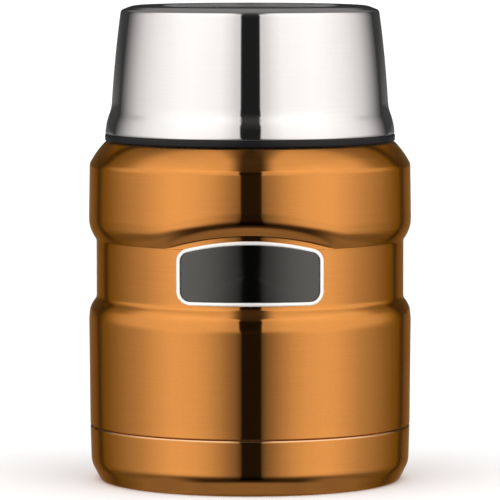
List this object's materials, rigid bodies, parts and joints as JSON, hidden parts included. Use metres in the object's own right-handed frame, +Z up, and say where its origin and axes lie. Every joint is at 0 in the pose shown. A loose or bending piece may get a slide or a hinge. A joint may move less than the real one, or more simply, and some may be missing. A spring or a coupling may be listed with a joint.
{
  "type": "insulated food jar",
  "caption": "Double-walled vacuum food jar with a waisted shell, a screw-in stopper and a screw-on lid that turns over to serve as a bowl.",
  "frame": {"origin": "centre of the foot ring, on the surface that the jar stands on", "axes": "+Z up along the jar's axis; -Y is the front, where the small plate sits in the waist; +X is to the right seen from the front"},
  "size_m": [0.096, 0.096, 0.1412],
  "materials": {
    "copper_steel": "satin",
    "bright_steel": "satin",
    "liner_steel": "satin",
    "plate_steel": "matte",
    "reflective_foil": "polished",
    "braze": "satin",
    "getter_metal": "matte",
    "adhesive": "matte",
    "black_plastic": "satin",
    "stopper_plastic": "satin",
    "silicone": "matte",
    "foam": "matte",
    "plate_rim": "satin",
    "plate_face": "satin"
  },
  "bodies": {
    "jar": {"outer_shell": "copper_steel", "inner_liner": "liner_steel", "radiation_foil": "reflective_foil", "shell_bottom": "plate_steel", "vacuum_seal": "braze", "getter": "getter_metal", "getter_clip": "plate_steel", "base_cover": "copper_steel", "base_bond": "adhesive", "neck_collar": "black_plastic", "badge_pad": "adhesive", "badge_frame": "plate_rim", "badge_inlay": "plate_face"},
    "gasket": {"stopper_gasket": "silicone"},
    "stopper": {"stopper_body": "stopper_plastic", "stopper_cap": "stopper_plastic", "stopper_foam": "foam"},
    "seal": {"lid_seal": "silicone"},
    "lid": {"lid_shell": "bright_steel", "lid_bowl": "liner_steel", "lid_collar": "black_plastic"}
  },
  "joints": [
    {"name": "lid_lift", "type": "slide", "parent": "jar", "child": "seal", "axis": [0, 0, 1], "range_m": [0, 0.0521]},
    {"name": "lid_turn", "type": "hinge", "parent": "seal", "child": "lid", "pos_m": [0, 0, 0.119], "axis": [0, 0, 1], "range_deg": [0, 1560]},
    {"name": "stopper_lift", "type": "slide", "parent": "jar", "child": "gasket", "axis": [0, 0, 1], "range_m": [0, 0.0261]},
    {"name": "stopper_turn", "type": "hinge", "parent": "gasket", "child": "stopper", "pos_m": [0, 0, 0.102], "axis": [0, 0, 1], "range_deg": [0, 781]}
  ],
  "couplings": [
    {"joint": "lid_lift", "follows": "lid_turn", "m_per_rad": 0.0019099},
    {"joint": "stopper_turn", "follows": "lid_turn", "ratio": 0.5},
    {"joint": "stopper_lift", "follows": "lid_turn", "m_per_rad": 0.00095493}
  ]
}
